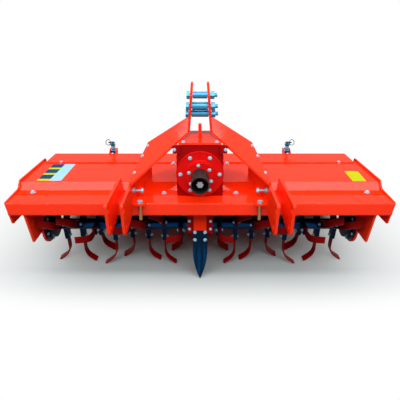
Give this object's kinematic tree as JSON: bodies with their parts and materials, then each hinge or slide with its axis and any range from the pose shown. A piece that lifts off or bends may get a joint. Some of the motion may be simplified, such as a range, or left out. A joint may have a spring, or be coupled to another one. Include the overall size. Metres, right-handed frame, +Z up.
{
  "type": "rotavator",
  "caption": "Three-point mounted rotary cultivator with a hooded bladed rotor, centre gearbox, A-frame and hinged trailing board on spring rods.",
  "frame": {"origin": "middle of the footprint on the ground", "axes": "+X along the rotor to the right as seen from the tractor end, +Y to the rear, +Z up"},
  "size_m": [2.06, 1.1884, 1.1344],
  "materials": {
    "hood_red": "glossy orange-red paint",
    "casting_red": "dark red paint on castings",
    "rotor_black": "black-blue paint on the rotor tube and holders",
    "share_navy": "dark navy paint",
    "guard_black": "moulded black",
    "bright_steel": "machined",
    "zinc": "bright zinc plating",
    "spring_dark": "dark coated wire"
  },
  "bodies": {
    "frame": {"aframe_left": "hood_red", "aframe_right": "hood_red", "bearing_cap": "casting_red", "bearing_housing_left": "rotor_black", "bearing_housing_right": "rotor_black", "board_hinges": "hood_red", "bridge_plate": "hood_red", "centre_deck": "hood_red", "clamp_left": "zinc", "clamp_right": "zinc", "drive_case": "casting_red", "end_plate_left": "hood_red", "end_plate_right": "hood_red", "front_beam": "hood_red", "gearbox_body": "casting_red", "gearbox_cover": "casting_red", "hitch_inner_left": "hood_red", "hitch_inner_right": "hood_red", "hitch_outer_left": "hood_red", "hitch_outer_right": "hood_red", "mast_spacers": "zinc", "pto_guard": "guard_black", "rear_beam": "hood_red", "rod_lugs_left": "hood_red", "rod_lugs_right": "hood_red", "shaft_hook": "hood_red", "share": "share_navy", "share_bracket": "hood_red", "side_plate_left": "hood_red", "side_plate_right": "hood_red", "top_link_pin": "zinc", "wing_cover_left": "hood_red", "wing_cover_right": "hood_red"},
    "rotor": {"rotor_left": "rotor_black", "rotor_right": "rotor_black"},
    "pto_shaft": {"pto_shaft": "bright_steel"},
    "trailing_board": {"rear_board": "hood_red"},
    "trunnion_left": {"trunnion_left": "zinc"},
    "rod_left": {"board_rod_left": "zinc", "rod_spring_left": "spring_dark"},
    "trunnion_right": {"trunnion_right": "zinc"},
    "rod_right": {"board_rod_right": "zinc", "rod_spring_right": "spring_dark"}
  },
  "joints": [
    {"name": "rotor_turn", "type": "hinge", "parent": "frame", "child": "rotor", "pos_m": [0, -0.04483, 0.26], "axis": [1, 0, 0], "continuous": true},
    {"name": "pto_turn", "type": "hinge", "parent": "frame", "child": "pto_shaft", "pos_m": [0, -0.35483, 0.668], "axis": [0, 1, 0], "continuous": true},
    {"name": "board_lift", "type": "hinge", "parent": "frame", "child": "trailing_board", "pos_m": [0, 0.39917, 0.538], "axis": [1, 0, 0], "range_deg": [0, 35]},
    {"name": "trunnion_left_turn", "type": "hinge", "parent": "frame", "child": "trunnion_left", "pos_m": [-0.60577, 0.43517, 0.59], "axis": [1, 0, 0], "range_deg": [0, 35]},
    {"name": "rod_left_turn", "type": "hinge", "parent": "trailing_board", "child": "rod_left", "pos_m": [-0.60577, 0.55117, 0.298], "axis": [1, 0, 0], "range_deg": [-5, 0]},
    {"name": "trunnion_right_turn", "type": "hinge", "parent": "frame", "child": "trunnion_right", "pos_m": [0.60577, 0.43517, 0.59], "axis": [1, 0, 0], "range_deg": [0, 35]},
    {"name": "rod_right_turn", "type": "hinge", "parent": "trailing_board", "child": "rod_right", "pos_m": [0.60577, 0.55117, 0.298], "axis": [1, 0, 0], "range_deg": [-5, 0]}
  ],
  "couplings": [
    {"joint": "pto_turn", "follows": "rotor_turn", "ratio": 2.6},
    {"joint": "trunnion_left_turn", "follows": "board_lift", "ratio": 0.9377},
    {"joint": "rod_left_turn", "follows": "board_lift", "ratio": -0.0623},
    {"joint": "trunnion_right_turn", "follows": "board_lift", "ratio": 0.9377},
    {"joint": "rod_right_turn", "follows": "board_lift", "ratio": -0.0623}
  ]
}
